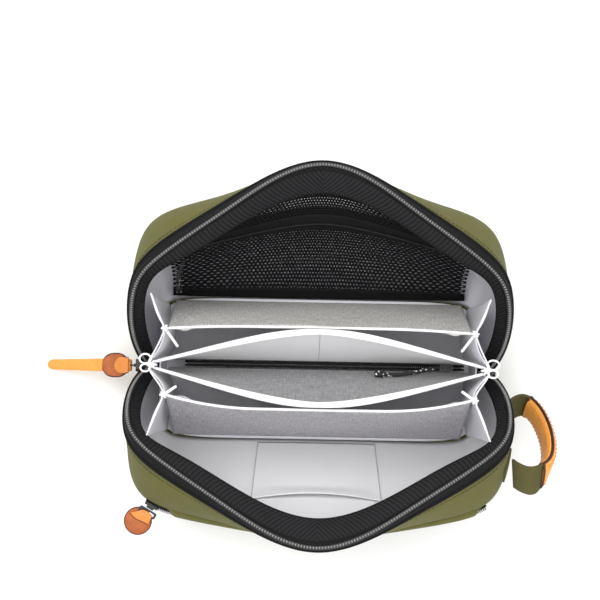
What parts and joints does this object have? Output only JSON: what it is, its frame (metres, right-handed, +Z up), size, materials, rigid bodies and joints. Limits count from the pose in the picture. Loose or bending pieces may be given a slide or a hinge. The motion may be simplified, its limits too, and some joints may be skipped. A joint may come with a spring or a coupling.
{
  "type": "cable organizer pouch",
  "caption": "Soft zip-round cable pouch standing open, with folding padded shells, a mesh pocket, padded dividers, a zipped centre pocket and a strap handle.",
  "frame": {"origin": "centre of the flat bottom, on the surface the pouch stands on", "axes": "+X along the pouch's length towards the handle, +Y towards the mesh pocket side, +Z up"},
  "size_m": [0.3372, 0.2349, 0.118],
  "materials": {
    "canvas": "woven, matte",
    "foam_pad": "soft foam",
    "lining": "smooth, pale",
    "melange": "melange weave",
    "mesh": "open knit",
    "facing": "ribbed twill",
    "zip_tape": "woven tape",
    "zip_coil": "moulded coil",
    "tape_white": "woven tape",
    "board": "stiff sheet",
    "slider_black": "satin black",
    "leather_smooth": "smooth tan",
    "leather_suede": "suede brown",
    "webbing": "herringbone webbing",
    "cord": "braided, flecked"
  },
  "bodies": {
    "base": {"base_panel": "canvas", "base_board": "board", "base_lining": "lining", "end_webs": "lining", "zip_end_stops": "zip_coil", "centre_pocket_floor": "lining", "centre_zip_tape": "zip_tape", "centre_zip_coil": "zip_coil", "gussets_left": "lining", "gussets_right": "lining", "tape_knots_left": "tape_white", "tape_knots_right": "tape_white", "back_divider": "melange", "front_divider": "melange", "back_divider_binding": "tape_white", "front_divider_binding": "tape_white", "back_pocket_wall": "lining", "front_pocket_wall": "melange", "back_lip_binding": "tape_white", "front_lip_binding": "tape_white"},
    "front_shell": {"front_outer_panel": "canvas", "front_foam": "foam_pad", "front_lining": "lining", "front_zip_facing": "facing", "front_zip_tape": "zip_tape", "front_zip_teeth": "zip_coil", "front_slip_pocket": "lining", "outer_pocket_bag": "canvas", "outer_pocket_zip_tape": "zip_tape", "outer_pocket_zip_coil": "zip_coil", "handle_anchors": "webbing"},
    "back_shell": {"back_outer_panel": "canvas", "back_foam": "foam_pad", "back_lining": "lining", "back_zip_facing": "facing", "back_zip_tape": "zip_tape", "back_zip_teeth": "zip_coil", "mesh_pocket_panel": "mesh", "mesh_upper_panel": "mesh", "mesh_zip_tape": "zip_tape", "mesh_zip_coil": "zip_coil"},
    "main_slider": {"main_slider": "slider_black"},
    "main_pull": {"main_bail": "slider_black", "leather_oval": "leather_suede", "leather_strip": "leather_smooth"},
    "pocket_slider": {"outer_pocket_slider": "slider_black"},
    "pocket_tab": {"outer_pocket_bail": "slider_black", "outer_pocket_tab": "leather_suede"},
    "mesh_slider": {"mesh_slider": "slider_black"},
    "mesh_pull": {"mesh_pull_cord": "cord", "mesh_pull_knot": "cord"},
    "centre_slider": {"centre_slider": "slider_black"},
    "centre_pull": {"centre_pull_cord": "cord", "centre_pull_knot": "cord"},
    "handle": {"handle_webbing": "webbing", "handle_grip": "leather_smooth"}
  },
  "joints": [
    {"name": "front_shell_fold", "type": "hinge", "parent": "base", "child": "front_shell", "pos_m": [0, -0.052, 0.004], "axis": [-1, 0, 0], "range_deg": [0, 15]},
    {"name": "back_shell_fold", "type": "hinge", "parent": "base", "child": "back_shell", "pos_m": [0, 0.052, 0.004], "axis": [1, 0, 0], "range_deg": [0, 15]},
    {"name": "main_slider_travel", "type": "slide", "parent": "base", "child": "main_slider", "axis": [-0.2, 0, 0.9798], "range_m": [0, 0.01]},
    {"name": "main_pull_lift", "type": "hinge", "parent": "main_slider", "child": "main_pull", "pos_m": [-0.1242, 0, 0.0295], "axis": [0, 1, 0], "range_deg": [0, 75]},
    {"name": "outer_pocket_slider_travel", "type": "slide", "parent": "front_shell", "child": "pocket_slider", "axis": [0.8999, -0.4301, 0.072], "range_m": [0, 0.022]},
    {"name": "outer_pocket_tab_swing", "type": "hinge", "parent": "pocket_slider", "child": "pocket_tab", "pos_m": [-0.1069, -0.09272, 0.0626], "axis": [0.866, -0.5, 0], "range_deg": [-40, 55]},
    {"name": "mesh_slider_travel", "type": "slide", "parent": "back_shell", "child": "mesh_slider", "axis": [0.9739, 0.1948, 0.1169], "range_m": [0, 0.037]},
    {"name": "mesh_pull_swing", "type": "hinge", "parent": "mesh_slider", "child": "mesh_pull", "pos_m": [-0.089, 0.07, 0.054], "axis": [0, 1, 0], "range_deg": [-40, 5]},
    {"name": "centre_slider_travel", "type": "slide", "parent": "base", "child": "centre_slider", "axis": [1, 0, 0], "range_m": [-0.11, 0]},
    {"name": "centre_pull_lift", "type": "hinge", "parent": "centre_slider", "child": "centre_pull", "pos_m": [0.0795, 0.002, 0.0434], "axis": [0, 1, 0], "range_deg": [0, 75]},
    {"name": "handle_swing", "type": "hinge", "parent": "front_shell", "child": "handle", "pos_m": [0.1235, -0.027, 0.0365], "axis": [-0.0151, -0.6975, 0.7164], "range_deg": [-12, 12]}
  ]
}
